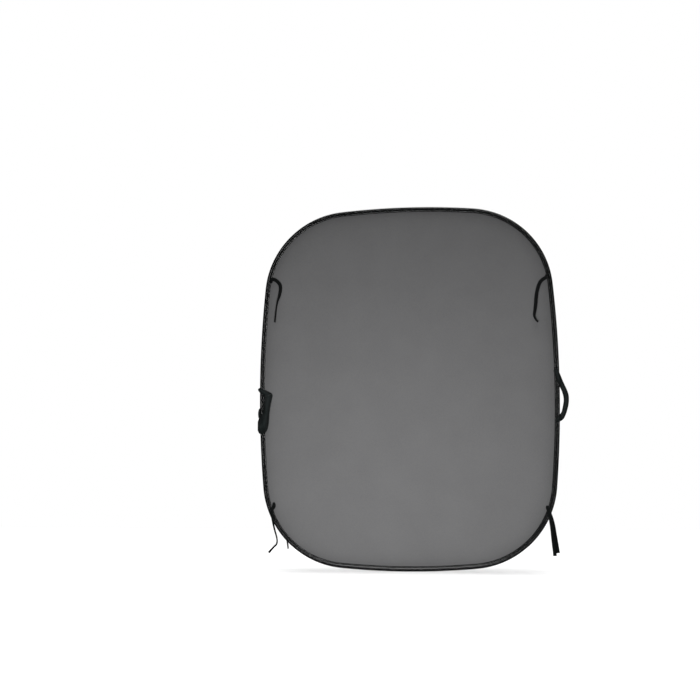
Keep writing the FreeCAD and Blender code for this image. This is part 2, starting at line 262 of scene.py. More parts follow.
def mesh_piece(name, points, faces, material, loop_uv=None, loop_normals=None):
    """A mesh object from whole arrays: points (n, 3) and faces (m, 3 or 4), all smooth."""
    mesh = bpy.data.meshes.new(name)
    sides = faces.shape[1]
    mesh.vertices.add(len(points))
    mesh.vertices.foreach_set("co", points.astype(np.float32).ravel())
    mesh.loops.add(faces.size)
    mesh.loops.foreach_set("vertex_index", faces.astype(np.int32).ravel())
    mesh.polygons.add(len(faces))
    mesh.polygons.foreach_set("loop_start", np.arange(0, faces.size, sides, dtype=np.int32))
    mesh.polygons.foreach_set("use_smooth", np.ones(len(faces), bool))
    mesh.update(calc_edges=True)
    if loop_uv is not None:
        layer = mesh.uv_layers.new(name="UVMap")
        layer.data.foreach_set("uv", loop_uv.astype(np.float32).ravel())
    if loop_normals is not None:
        mesh.normals_split_custom_set(loop_normals.reshape(-1, 3).astype(np.float32))
    mesh.materials.append(material)
    return add_object(name, mesh)


def grid_quads(rows, columns, first):
    """Quads (a, b, c, d) of a grid of numbered points: a to b goes down a row, a to d along it."""
    a = first + np.arange(rows - 1)[:, None] * columns + np.arange(columns - 1)[None, :]
    return np.stack([a, a + columns, a + columns + 1, a + 1], axis=-1).reshape(-1, 4)


def border_walls(rows, columns, outer, inner):
    """Quads that close the rim between two grids of numbered points of the same size."""
    index = np.arange(rows * columns).reshape(rows, columns)
    borders = (index[::-1, 0], index[:, -1], index[0, :], index[-1, ::-1])
    walls = []
    for line in borders:
        p, q = line[:-1], line[1:]
        walls.append(np.stack([outer + p, outer + q, inner + q, inner + p], axis=-1))
    return np.concatenate(walls)


def slab_arrays(outer, inner, outer_normals=None, uv=None):
    """Two grids of points, the two faces of one layer, closed round their rims. Returns points,
    quads, and each quad corner's UV and normal. The faces keep their own normals, and the rim is
    shaded flat."""
    rows, columns = outer.shape[:2]
    count = rows * columns
    geometric = grid_normals(outer)
    normals = geometric if outer_normals is None else outer_normals
    back_normals = grid_normals(inner)
    if uv is None:
        uv = np.stack([lengths_along(outer, 0), lengths_along(outer, 1)], axis=-1)
    middle = (rows // 2, columns // 2)
    turned = float(np.dot(geometric[middle], (outer - inner)[middle])) < 0
    front = grid_quads(rows, columns, 0)
    back = grid_quads(rows, columns, count)[:, ::-1]
    walls = border_walls(rows, columns, 0, count)
    faces = np.concatenate([front, back, walls])
    if turned:
        faces = faces[:, ::-1]
    points = np.concatenate([outer.reshape(-1, 3), inner.reshape(-1, 3)])
    away = (outer - inner).reshape(-1, 3)
    front_n, back_n = normals.reshape(-1, 3), back_normals.reshape(-1, 3)
    front_n = front_n * np.sign((front_n * away).sum(1, keepdims=True))
    back_n = back_n * -np.sign((back_n * away).sum(1, keepdims=True))
    vertex_normals = np.concatenate([front_n, back_n])
    loop_normals = vertex_normals[faces]
    corners = points[faces[-len(walls):]]
    flat = np.cross(corners[:, 2] - corners[:, 0], corners[:, 3] - corners[:, 1])
    flat = flat / np.maximum(np.linalg.norm(flat, axis=1, keepdims=True), 1e-15)
    loop_normals[-len(walls):] = flat[:, None, :]
    both = np.concatenate([uv.reshape(-1, 2), uv.reshape(-1, 2)])
    return points, faces, both[faces], loop_normals


def slab_piece(name, slabs, material):
    """One piece made of one or more slabs."""
    points, faces, uvs, normals = zip(*slabs)
    firsts = np.cumsum([0] + [len(p) for p in points])
    faces = np.concatenate([f + first for f, first in zip(faces, firsts)])
    return mesh_piece(
        name, np.concatenate(points), faces, material, np.concatenate(uvs), np.concatenate(normals)
    )


def stitch_piece(name, places, directions, outwards, length, radius, material):
    """Thread stitches: one small spindle, two rings of five points between two ends, repeated at
    each place. Its length lies along the direction and it is pressed flat against the surface."""
    ring = np.arange(5) * 2 * math.pi / 5
    across, up = np.cos(ring), 0.7 * np.sin(ring)
    halves = np.array([-0.28, 0.28])
    body = np.stack(
        [np.repeat(halves * length, 5), np.tile(across * radius, 2), np.tile(up * radius, 2)], axis=1
    )
    ends = np.array([[-0.5 * length, 0, -0.5 * radius], [0.5 * length, 0, -0.5 * radius]])
    shape = np.concatenate([body, ends])
    i = np.arange(5)
    j = (i + 1) % 5
    sides = np.concatenate([np.stack([i, j, j + 5], 1), np.stack([i, j + 5, i + 5], 1)])
    tips = np.concatenate([np.stack([j, i, 0 * i + 10], 1), np.stack([i + 5, j + 5, 0 * i + 11], 1)])
    faces = np.concatenate([sides, tips])
    sideways = np.cross(outwards, directions)
    frames = np.stack([directions, sideways, outwards], axis=1)
    points = places[:, None, :] + np.einsum("kc,ncd->nkd", shape, frames)
    every = faces[None] + (np.arange(len(places)) * len(shape))[:, None, None]
    return mesh_piece(name, points.reshape(-1, 3), every.reshape(-1, 3), material)


# ---------------------------------------------------------------- lengths of the panel


BINDING_PARTS = ("top_corner", "side", "bottom_corner")


class Span:
    """A length of the panel that one set of pieces covers: from the middle of one strip to the middle
    of the next, or, past the last one, the side."""

    def __init__(self, side, sign, number):
        self.side, self.sign = side, sign
        last = len(FOLD_LINES)
        self.is_side = number > last
        self.name = f"{side}_side" if self.is_side else f"{side}_{number}"
        self.near = STRIP_HALF * 2 * (number - 1)
        self.far = self.near + 2 * STRIP_HALF
        self.outer = f"{side}_{min(number, last)}"
        self.inner = "centre" if number == 1 else f"{side}_{number - 1}"
        clear = SLEEVE_CLEAR if number == 1 else 0.0
        self.bend_from, self.bend_to = self.near + clear, self.far - clear

    def attach(self, piece, nodes, slot_name):
        """The piece rides on the side's outer body, or stays in place on a strip, and stands for those
        CAD nodes.
        """
        if self.is_side:
            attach(piece, self.outer)
        else:
            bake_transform(piece)
        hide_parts(*nodes)

    def nodes(self, layer):
        """The CAD nodes of a layer that this span covers."""
        names = []
        for body in dict.fromkeys((self.inner, self.outer)):
            if layer == "binding" and body == f"{self.side}_{len(FOLD_LINES)}":
                names += [f"binding_{self.side}_{part}" for part in BINDING_PARTS]
            else:
                names.append(f"{layer}_{body}")
        return names


def spans():
    """Every span of both sides."""
    return [Span(side, sign, n) for side, sign in SIDES for n in range(1, len(FOLD_LINES) + 2)]


def edge_runs(span, insets, spacing, extra):
    """Distances along the edge, as grids (ring, inset), for each run of edge in a span: the top and
    the bottom one, or the side's single one. Each ring at a span's end lies on one upright line, and
    extra rings are added past both ends for the normals."""
    if span.is_side:
        start = along_at(span.near, insets)
        count = round(float(2 * (QUARTER - start.mean())) / spacing)
        share = np.arange(-extra, count + extra + 1)[:, None] / count
        return [start * (1 - share) + (2 * QUARTER - start) * share]
    count = round((span.far - span.near) / spacing)
    x = span.near + np.arange(-extra, count + extra + 1)[:, None] / count * (span.far - span.near)
    top = along_at(x, insets[None, :])
    return [top, 2 * QUARTER - top]


# ---------------------------------------------------------------- node materials


class Nodes:
    """A small helper that adds shader nodes and links them."""

    def __init__(self, name):
        self.material = bpy.data.materials.new(name)
        self.material.use_nodes = True
        self.tree = self.material.node_tree
        self.shader = self.tree.nodes["Principled BSDF"]

    def add(self, kind, **values):
        node = self.tree.nodes.new(kind)
        for key, value in values.items():
            setattr(node, key, value)
        return node

    def link(self, source, target):
        self.tree.links.new(source, target)

    def math(self, operation, *values):
        """The output of a Math node; numbers are set on its sockets, and sockets are linked."""
        node = self.add("ShaderNodeMath", operation=operation)
        for socket, value in zip(node.inputs, values):
            if isinstance(value, bpy.types.NodeSocket):
                self.link(value, socket)
            else:
                socket.default_value = value
        return node.outputs[0]

    def axes(self, output):
        """x, y and z sockets of a texture coordinate: "Object" or "UV"."""
        coordinate = self.add("ShaderNodeTexCoord")
        split = self.add("ShaderNodeSeparateXYZ")
        self.link(coordinate.outputs[output], split.inputs[0])
        return coordinate.outputs[output], split.outputs

    def noise(self, vector, scale, detail=2.0, roughness=0.5):
        """Noise from 0 to 1."""
        node = self.add("ShaderNodeTexNoise")
        node.inputs["Scale"].default_value = scale
        node.inputs["Detail"].default_value = detail
        node.inputs["Roughness"].default_value = roughness
        self.link(vector, node.inputs["Vector"])
        return node.outputs["Fac"]

    def waves(self, socket, pitch):
        """The sine of a coordinate, one wave each pitch."""
        return self.math("SINE", self.math("MULTIPLY", socket, 2 * math.pi / pitch))

    def between(self, factor, low, high, dark, light):
        """A colour from dark to light as the factor goes from low to high."""
        ramp = self.add("ShaderNodeValToRGB")
        ramp.color_ramp.elements[0].position = low
        ramp.color_ramp.elements[0].color = (*dark, 1)
        ramp.color_ramp.elements[1].position = high
        ramp.color_ramp.elements[1].color = (*light, 1)
        self.link(factor, ramp.inputs[0])
        return ramp.outputs[0]

    def bump(self, height, distance, strength=1.0, below=None):
        """A bump from a height, on top of another one."""
        node = self.add("ShaderNodeBump")
        node.inputs["Strength"].default_value = strength
        node.inputs["Distance"].default_value = distance
        self.link(height, node.inputs["Height"])
        if below is not None:
            self.link(below, node.inputs["Normal"])
        return node.outputs[0]

    def finish(self, colour, normal, roughness, specular, sheen=0.0, sheen_roughness=0.4):
        """Sets the shader: uniform values go on its own sockets."""
        inputs = self.shader.inputs
        self.link(colour, inputs["Base Color"])
        self.link(normal, inputs["Normal"])
        if isinstance(roughness, bpy.types.NodeSocket):
            self.link(roughness, inputs["Roughness"])
        else:
            inputs["Roughness"].default_value = roughness
        inputs["Specular IOR Level"].default_value = specular
        inputs["Sheen Weight"].default_value = sheen
        inputs["Sheen Roughness"].default_value = sheen_roughness
        return self.material


def shade(colour, factor):
    """A colour made lighter or darker."""
    return tuple(channel * factor for channel in colour[:3])


def cloth_material(name, colour, pitch, specular, sheen):
    """Plain-weave cloth: warp and weft threads cross in a checker of small humps, the threads differ
    a little in tone, and the dye is uneven over a hand's breadth. Painted shade darkens the colour
    towards the seam, by a falling exponential of the distance in from the edge, which is the UV
    map's second number."""
    nodes = Nodes(name)
    place, axes = nodes.axes("Object")
    warp = nodes.waves(axes[0], pitch)
    weft = nodes.waves(axes[2], pitch)
    weave = nodes.math("MULTIPLY", warp, weft)
    slubs = nodes.noise(place, 420.0, 2.0, 0.6)
    dye = nodes.noise(place, 6.0, 3.0, 0.55)
    tone = nodes.math("MULTIPLY_ADD", weave, 0.20, slubs)
    tone = nodes.math("MULTIPLY_ADD", tone, 0.72, nodes.math("MULTIPLY", dye, 0.28))
    _, from_edge = nodes.axes("UV")
    # painted shade: the tone is lowered by an exponential of the distance in past the binding
    inwards = nodes.math("SUBTRACT", from_edge[1], BINDING_WIDTH)
    depth = nodes.math("EXPONENT", nodes.math("DIVIDE", inwards, -SEAM_SHADE_REACH))
    tone = nodes.math("MULTIPLY_ADD", depth, -SEAM_SHADE, tone)
    mixed = nodes.between(tone, -0.2, 0.72, shade(colour, 0.72), shade(colour, 1.07))
    fine = nodes.bump(weave, pitch * 0.12)
    normal = nodes.bump(dye, 0.0015, 0.25, below=fine)
    return nodes.finish(mixed, normal, 0.86, specular, sheen, 0.55)


def tape_material(name, colour, rib, specular, roughness, sheen):
    """Ribbed tape: fine ribs across its length, fainter ones along it, and threads that catch light
    unevenly."""
    nodes = Nodes(name)
    _, axes = nodes.axes("UV")
    place, _ = nodes.axes("Object")
    ribs = nodes.waves(axes[0], rib)
    cross = nodes.waves(axes[1], rib * 0.8)
    fuzz = nodes.noise(place, 900.0, 2.0, 0.6)
    worn = nodes.noise(place, 26.0, 4.0, 0.6)
    height = nodes.math("MULTIPLY_ADD", ribs, 0.8, nodes.math("MULTIPLY", cross, 0.12))
    tone = nodes.math("MULTIPLY_ADD", fuzz, 0.5, nodes.math("MULTIPLY", worn, 0.5))
    mixed = nodes.between(tone, 0.30, 0.72, shade(colour, 0.65), shade(colour, 1.7))
    rough = nodes.math("MULTIPLY_ADD", worn, 0.16, roughness - 0.08)
    normal = nodes.bump(height, rib * 0.03, 0.9)
    return nodes.finish(mixed, normal, rough, specular, sheen, 0.4)


def webbing_material(name, colour, specular, roughness, sheen):
    """Herringbone webbing: slanting ribs that turn back at even lanes across the width, and a lighter
    middle that fades to both edges, a painted highlight along the strap's crown."""
    nodes = Nodes(name)
    _, axes = nodes.axes("UV")
    place, _ = nodes.axes("Object")
    lane = nodes.math("PINGPONG", axes[1], LANE_WIDTH)
    slant = nodes.math("ADD", axes[0], lane)
    ribs = nodes.waves(slant, 0.0021)
    lanes = nodes.waves(axes[1], 2 * LANE_WIDTH)
    fuzz = nodes.noise(place, 800.0, 2.0, 0.6)
    worn = nodes.noise(place, 45.0, 3.0, 0.6)
    height = nodes.math("MULTIPLY_ADD", lanes, 0.35, ribs)
    tone = nodes.math("MULTIPLY_ADD", fuzz, 0.45, nodes.math("MULTIPLY", worn, 0.55))
    # painted highlight: the colour is lightened towards the middle of the strap's width, where its crown
    # would catch the light
    middle = nodes.math("POWER", nodes.math("PINGPONG", axes[1], WEBBING_HALF_WIDTH), 2.0)
    tone = nodes.math("MULTIPLY_ADD", middle, 0.45 / WEBBING_HALF_WIDTH**2, tone)
    mixed = nodes.between(tone, 0.35, 1.0, shade(colour, 0.45), shade(colour, 3.4))
    rough = nodes.math("MULTIPLY_ADD", worn, 0.2, roughness - 0.1)
    normal = nodes.bump(height, 0.00009, 0.9)
    return nodes.finish(mixed, normal, rough, specular, sheen, 0.4)


def thread_material(name, colour):
    """Twisted sewing thread: fine slanting plies."""
    nodes = Nodes(name)
    place, axes = nodes.axes("Object")
    slant = nodes.math("ADD", axes[0], axes[2])
    plies = nodes.waves(slant, 0.0005)
    fuzz = nodes.noise(place, 1500.0)
    mixed = nodes.between(fuzz, 0.3, 0.7, shade(colour, 0.7), shade(colour, 1.4))
    normal = nodes.bump(plies, 0.00005)
    return nodes.finish(mixed, normal, 0.5, 0.3, 0.1)


def steel_material(name, colour, roughness):
    """Brushed spring steel: fine scratches along the band and faint temper stains."""
    nodes = Nodes(name)
    place, _ = nodes.axes("Object")
    stretch = nodes.add("ShaderNodeMapping")
    stretch.inputs["Scale"].default_value = (1.0, 30.0, 1.0)
    nodes.link(place, stretch.inputs[0])
    scratches = nodes.noise(stretch.outputs[0], 180.0, 3.0, 0.6)
    stains = nodes.noise(place, 20.0, 3.0)
    mixed = nodes.between(stains, 0.3, 0.7, shade(colour, 0.8), shade(colour, 1.1))
    rough = nodes.math("MULTIPLY_ADD", scratches, 0.2, roughness - 0.1)
    normal = nodes.bump(scratches, 0.00004)
    material = nodes.finish(mixed, normal, rough, 0.5)
    nodes.shader.inputs["Metallic"].default_value = 1.0
    return material


def floor_material(name, colour):
    """Matt painted studio floor."""
    nodes = Nodes(name)
    place, _ = nodes.axes("Object")
    mottle = nodes.noise(place, 3.0, 2.0)
    mixed = nodes.between(mottle, 0.3, 0.7, shade(colour, 0.99), colour[:3])
    normal = nodes.bump(mottle, 0.0005, 0.1)
    return nodes.finish(mixed, normal, 0.9, 0.1)


# ---------------------------------------------------------------- settings



def length(name, description, default):
    """A setting in metres."""
    return bpy.props.FloatProperty(name=name, description=description, unit="LENGTH", default=default)


def power(name, description, default):
    """A setting in watts."""
    return bpy.props.FloatProperty(name=name, description=description, unit="POWER", default=default)


def strength(name, description, default):
    """A setting without a unit."""
    return bpy.props.FloatProperty(name=name, description=description, default=default)


def triple(name, description, default, subtype="COLOR"):
    """A setting of three numbers, which is a colour if nothing else is said."""
    return bpy.props.FloatVectorProperty(
        name=name, description=description, subtype=subtype, default=default
    )


class BackdropCloth(bpy.types.PropertyGroup):
    """Colours and ripples of the two cloths."""

    front: triple("Front", "Colour of the light front cloth", (0.150, 0.150, 0.152))
    back: triple("Back", "Colour of the dark back cloth", (0.0024, 0.0024, 0.0026))
    pitch: length("Thread pitch", "Distance between threads", 0.0009)
    gather: length("Gather", "Height of the ripples beside the seam", 0.00045)
    wave: length("Wave", "Height of the broad waves of the stretched cloth", 0.0006)


class BackdropEdge(bpy.types.PropertyGroup):
    """The tape round the edge, and its stitching."""

    colour: triple("Tape", "Colour of the edge tape", (0.0022, 0.0024, 0.0025))
    thread: triple("Thread", "Colour of the sewing thread", (0.012, 0.012, 0.012))
    corner_ripple: length("Corner ripple", "Height of the tape's puckers in the corners", 0.0005)
    run_ripple: length("Run ripple", "Height of the long ripples elsewhere", 0.00022)
    stitch: length("Stitch", "Distance from one stitch to the next", 0.0042)


class BackdropStraps(bpy.types.PropertyGroup):
    """Handle webbing and tie tapes."""

    webbing: triple("Webbing", "Colour of the handles", (0.0036, 0.0047, 0.0047))
    webbing_half: length("Half thickness", "Half the webbing's thickness in its middle", 0.0009)
    tie: triple("Tie", "Colour of the tie tapes", (0.0028, 0.0034, 0.0034))
    tie_width: length("Tie width", "Width of a tie tape laid flat", 0.017)
    tie_thickness: length("Tie thickness", "Thickness of a tie tape", 0.0008)


class BackdropStage(bpy.types.PropertyGroup):
    """Camera, floor and lights."""

    lens: bpy.props.FloatProperty(name="Lens", description="Focal length", unit="CAMERA", default=60.0)
    camera_place: triple("Camera", "Where the camera stands", (0.435, -5.697, -1.521), "TRANSLATION")
    camera_turn: triple("Turn", "Camera's rotation", (1.7095, -0.0017, 0.1255), "EULER")
    floor: triple("Floor", "Colour of the floor", (0.86, 0.86, 0.86))
    key: power("Key", "Power of the low front light", 52.0)
    sky: strength("Overhead", "Strength of the wide overhead light", 3.9)
    surround: strength("Surround", "Strength of the even light from all round", 0.05)
    rim: power("Rim", "Power of the small soft light by the camera", 22.0)
    behind: power("Behind", "Power of the soft light behind the panel", 32.0)


# ---------------------------------------------------------------- stage


def area_light(name, place, target, size, watts):
    """A rectangular soft light that points at a target."""
    data = bpy.data.lights.new(name, "AREA")
    data.shape = "RECTANGLE"
    data.size, data.size_y = size
    data.energy = watts
    light = add_object(name, data)
    light.location = place
    way = np.array(target) - np.array(place)
    flat = math.hypot(way[0], way[1])
    light.rotation_euler = (math.atan2(flat, -way[2]), 0, math.atan2(-way[0], way[1]))
    return light


class BACKDROP_OT_stage(bpy.types.Operator):
    """Sets up the camera, the pale floor and the soft lights"""

    bl_idname = "backdrop.stage"
    bl_label = "Stage"

    def execute(self, context):
        stage = context.scene.backdrop_stage
        camera_data = bpy.data.cameras.new("camera")
        camera_data.lens = stage.lens
        camera = add_object("camera", camera_data)
        camera.location = stage.camera_place
        camera.rotation_euler = stage.camera_turn
        context.scene.camera = camera
        self.make_floor(stage)
        middle = (0, 0, MIDDLE_Z)
        key = area_light("key_light", (-0.15, -2.1, -1.5), (0, 0, -1.5), (2.0, 0.5), stage.key)
        key.visible_glossy = False
        self.make_overhead(stage)
        area_light("rim_light", (0.4, -5.2, -0.3), middle, (0.6, 0.6), stage.rim)
        area_light("back_light", (-0.6, 4.2, -0.2), middle, (1.6, 1.6), stage.behind)
        self.make_world(context, stage)
        return {"FINISHED"}

    def make_floor(self, stage):
        """A square floor just below the panel: a grid of points in one plane."""
        reach, below, thickness = 14.0, 0.001, 0.02
        side = np.linspace(-reach, reach, 3)
        x, y = np.meshgrid(side, side, indexing="ij")
        top = np.stack([x, y, np.full_like(x, -PANEL_HEIGHT - below)], axis=-1)
        bottom = top - np.array([0, 0, thickness])
        paint = floor_material("floor_paint", stage.floor)
        floor = slab_piece("floor", [slab_arrays(top, bottom)], paint)
        floor.visible_diffuse = False
        floor.visible_glossy = False

    def make_overhead(self, stage):
        """A very wide soft light from straight above, that whitens the floor evenly."""
        data = bpy.data.lights.new("overhead_light", "SUN")
        data.energy = stage.sky
        data.angle = math.radians(50)
        add_object("overhead_light", data)

    def make_world(self, context, stage):
        """A white surround for the eye, and a dim even one for the light that falls on the panel. The
        picture is shown without a tone curve, so that the cloth keeps its grey."""
        world = bpy.data.worlds.new("surround")
        context.scene.world = world
        world.use_nodes = True
        tree = world.node_tree
        seen = tree.nodes["Background"]
        dim = tree.nodes.new("ShaderNodeBackground")
        for background, level in ((seen, 1.0), (dim, stage.surround)):
            background.inputs["Color"].default_value = (1, 1, 1, 1)
            background.inputs["Strength"].default_value = level
        path = tree.nodes.new("ShaderNodeLightPath")
        mix = tree.nodes.new("ShaderNodeMixShader")
        tree.links.new(path.outputs["Is Camera Ray"], mix.inputs[0])
        tree.links.new(dim.outputs[0], mix.inputs[1])
        tree.links.new(seen.outputs[0], mix.inputs[2])
        tree.links.new(mix.outputs[0], tree.nodes["World Output"].inputs[0])
        context.scene.view_settings.view_transform = "Standard"


# ---------------------------------------------------------------- tie tapes

# Routes from where each tape is sewn, in millimetres (sideways, up), as part of the design
TIE_ROUTES = {
    "tie_upper_left_front": ((-2, 12), (26, 8), (54, -22), (46, -74), (30, -122), (24, -210)),
    "tie_upper_left_back": ((0, 0), (12, -60), (4, -140), (14, -236)),
    "tie_upper_right_front": ((0, -8), (-36, -30), (-54, -90), (-59, -160), (-70, -212), (-48, -232)),
    "tie_upper_right_back": ((0, 0), (-10, -70), (4, -150), (-8, -236)),
    "tie_lower_left_front": ((0, 0), (8, -80), (36, -166), (8, -190), (-12, -214)),
    "tie_lower_left_back": ((0, 0), (34, -72), (78, -146), (80, -196)),
    "tie_lower_right_front": ((0, 0), (14, -70), (20, -150), (27, -222)),
    "tie_lower_right_back": ((0, 0), (22, -66), (32, -140), (43, -209)),
}
# How far each tape curls up along its width (in turns) at its start, a third, two thirds and its end
TIE_CURLS = {
    "tie_upper_left_front": (0.03, 0.05, 0.80, 0.70),
    "tie_upper_right_front": (0.03, 0.05, 0.10, 0.75),
    "tie_lower_left_front": (0.05, 0.65, 0.85, 0.50),
    "tie_lower_left_back": (0.05, 0.30, 0.85, 0.80),
    "tie_lower_right_front": (0.03, 0.04, 0.06, 0.04),
    "tie_lower_right_back": (0.03, 0.04, 0.05, 0.04),
}
PLAIN_CURL = (0.03, 0.08, 0.20, 0.12)
TAPE_LEVEL = 0.0072
TAPE_ROOT_LEVEL = 0.0067
PAD_RADIUS = 0.0082
PAD_TOP = 0.0060
PAD_WALL = 0.0008
PAD_FOLD = 0.0003
TAPE_LEAN = 0.0008


def route_line(name, points):
    """The points of a smooth NURBS line of order 3 that has the route's points as its control
    points and touches its two ends."""
    curve = bpy.data.curves.new(name, "CURVE")
    curve.dimensions = "3D"
    curve.resolution_u = 32
    spline = curve.splines.new("NURBS")
    spline.points.add(len(points) - 1)
    flat = np.concatenate([points, np.ones((len(points), 1))], axis=1)
    spline.points.foreach_set("co", flat.astype(np.float32).ravel())
    spline.order_u = 3
    spline.use_endpoint_u = True
    holder = bpy.data.objects.new(name, curve)
    mesh = bpy.data.meshes.new_from_object(holder)
    line = np.zeros(len(mesh.vertices) * 3, np.float32)
    mesh.vertices.foreach_get("co", line)
    bpy.data.meshes.remove(mesh)
    bpy.data.objects.remove(holder)
    bpy.data.curves.remove(curve)
    return line.reshape(-1, 3).astype(float)


def evenly(line, count):
    """A line again as count points at even distances, and each one's distance along it."""
    steps = np.linalg.norm(np.diff(line, axis=0), axis=1)
    along = np.concatenate([[0], np.cumsum(steps)])
    at = np.linspace(0, along[-1], count)
    return np.stack([np.interp(at, along, line[:, k]) for k in range(3)], axis=1), at


def tie_route(name):
    """The tape's control points in the frame. It starts on its pad, level with the edge's tunnel, so
    that it clears the tunnel when it swings."""
    face = FRONT if name.endswith("front") else BACK
    pivot = JOINTS[f"{name}_swing"]["pos_m"]
    sideways, up = np.array(TIE_ROUTES[name], float).T * MM
    level = np.full(len(up), face * TAPE_LEVEL)
    points = np.stack([pivot[0] + sideways, level, pivot[2] + up], axis=1)
    start = points[0].copy()
    start[1] = face * TAPE_ROOT_LEVEL
    leaving = points[0] + 0.12 * (points[1] - points[0])
    return np.concatenate([[start], [leaving], points[1:]]), face


def tape_surface(line, curls, straps, face):
    """The tape's middle surface, as a grid (along, across). Across its width it is an arc whose whole
    turn is the curl, so its radius is width over turn, and the arc bulges away from the panel with
    its edges at the route's level. Its width leans a little to and fro along the way."""
    count = len(line)
    tangent = np.gradient(line, axis=0)
    tangent /= np.linalg.norm(tangent, axis=1, keepdims=True)
    outward = np.array([0.0, face, 0.0])
    sideways = np.cross(tangent, outward)
    sideways /= np.linalg.norm(sideways, axis=1, keepdims=True)
    share = np.linspace(0, 1, count)
    turn = 2 * math.pi * np.interp(share, np.linspace(0, 1, len(curls)), curls)
    across = np.linspace(-0.5, 0.5, 13)
    radius = straps.tie_width / turn[:, None]
    bend = across[None, :] * turn[:, None]
    side = radius * np.sin(bend)
    rise = radius * (np.cos(bend) - np.cos(turn[:, None] / 2))
    sway = TAPE_LEAN * np.sin(9 * share) * smooth(share, 0.1, 0.3)
    lean = sway[:, None] * (1 + 2 * across[None, :])
    height = rise + np.abs(lean)
    return line[:, None] + side[..., None] * sideways[:, None] + height[..., None] * outward


def strip_slab(surface, half, along, width):
    """A strip's slab about its middle surface: its faces are the surface plus and minus half its
    thickness, which may vary across, along its normals. Its UV is in metres along and across."""
    offset = np.asarray(half)[..., None] * grid_normals(surface)
    across = np.linspace(0, width, surface.shape[1])
    uv = np.stack(np.meshgrid(along, across, indexing="ij"), axis=-1)
    return slab_arrays(surface + offset, surface - offset, uv=uv)


# The sewn tails above the lower front ties: routes from where each is sewn, in millimetres
TIE_TAILS = {
    "left": ((2, -7), (7, 4), (11, 16), (9, 30)),
    "right": ((4, -16), (2, -6), (-3, 4), (-6, 15)),
}


class BACKDROP_OT_ties(bpy.types.Operator):
    """Makes the eight tie tapes, each a limp cord of flat tape"""

    bl_idname = "backdrop.ties"
    bl_label = "Tie tapes"

    def execute(self, context):
        straps = context.scene.backdrop_straps
        material = tape_material("tie_tape_weave", straps.tie, 0.0011, 0.16, 0.5, 0.01)
        for name in TIE_ROUTES:
            points, face = tie_route(name)
            line = route_line(f"{name}_route", points)
            even, along = evenly(line, 120)
            surface = tape_surface(even, TIE_CURLS.get(name, PLAIN_CURL), straps, face)
            edge = 1 - np.abs(np.linspace(-1, 1, surface.shape[1])) ** 8
            half = straps.tie_thickness / 2 * (0.45 + 0.55 * edge)
            slab = strip_slab(surface, half, along, straps.tie_width)
            piece = slab_piece(f"{name}_tape", [slab], material)
            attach(piece, name)
            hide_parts(name)
        for side, _ in SIDES:
            self.sewn_pads(side, material)
            self.sewn_tail(side, np.array(TIE_TAILS[side], float) * MM, straps, material)
        return {"FINISHED"}

    def sewn_pads(self, side, material):
        """The folded roots that the ties are tacked to: low domes on the flap, whose height falls with
        the cube of the distance from the middle, gathered into soft folds round the tack."""
        share = np.linspace(0.04, 1, 12)[:, None]
        turn = np.linspace(0, 2 * math.pi, 49)[None, :]
        slabs = []
        for level in ("upper", "lower"):
            pivot = JOINTS[f"tie_{level}_{side}_front_swing"]["pos_m"]
            for _, face in FACES:
                radius = PAD_RADIUS * share * (1 + 0.07 * np.cos(2 * turn))
                x, z = radius * np.cos(turn), 1.25 * radius * np.sin(turn)
                height = PAD_TOP - (PAD_TOP - CLOTH_FACE) * share**3 - PAD_FOLD * share * np.cos(9 * turn)
                outer = np.stack([pivot[0] + x, face * height, pivot[2] + z], axis=-1)
                inner = np.stack([pivot[0] + x, face * (height - PAD_WALL), pivot[2] + z], axis=-1)
                slabs.append(slab_arrays(outer, inner))
        piece = slab_piece(f"tie_pads_{side}", slabs, material)
        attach(piece, f"{side}_{len(FOLD_LINES)}")

    def sewn_tail(self, side, tail, straps, material):
        """The tie's folded end: a short tab over the flap and the cloth, that bulges in its middle."""
        pivot = JOINTS[f"tie_lower_{side}_front_swing"]["pos_m"]
        level = np.array([-0.0034, -0.0032, -0.0030, -0.0022])
        points = np.stack([pivot[0] + tail[:, 0], level, pivot[2] + tail[:, 1]], axis=1)
        even, along = evenly(route_line(f"tail_{side}", points), 24)
        surface = tape_surface(even, (0.05, 0.11, 0.11, 0.05), straps, FRONT)
        squeeze = 1.1 * np.sqrt(np.sin(np.linspace(0.12, math.pi - 0.12, len(even))))
        surface = even[:, None] + (surface - even[:, None]) * squeeze[:, None, None]
        slab = strip_slab(surface, straps.tie_thickness / 2, along, straps.tie_width)
        piece = slab_piece(f"tie_lower_{side}_front_tail", [slab], material)
        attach(piece, f"{side}_{len(FOLD_LINES)}")


# ---------------------------------------------------------------- edge


def tunnel_height(inset):
    """Half depth of the bound edge at an inset: an ellipse over the hoop, then a flap that slopes from
    a ridge to a rounded hem, joined by a smooth maximum, with a groove under each row of stitches."""
    reach = np.where(inset < TUNNEL_MIDDLE, TUNNEL_MIDDLE, TUNNEL_REACH)
    ratio = np.clip((inset - TUNNEL_MIDDLE) / reach, -1, 1)
    tunnel = TUNNEL_HALF_DEPTH * np.sqrt(np.maximum(1 - ratio**2, 0))
    hem = smooth(inset, BINDING_WIDTH + 0.00005, BINDING_WIDTH - 0.0007)
    flap = (RIDGE_HEIGHT - FLAP_SLOPE * np.abs(inset - RIDGE_INSET)) * (0.80 + 0.20 * hem)
    soft = 0.0005
    joined = 0.5 * (tunnel + flap + np.sqrt((tunnel - flap) ** 2 + soft**2))
    height = np.where(inset < TUNNEL_MIDDLE, tunnel, joined)
    for seam, depth in ((SEAM_INSET, 0.00045), (HEM_SEAM_INSET, 0.00022)):
        height = height - depth * np.exp(-(((inset - seam) / 0.0007) ** 2))
    return height


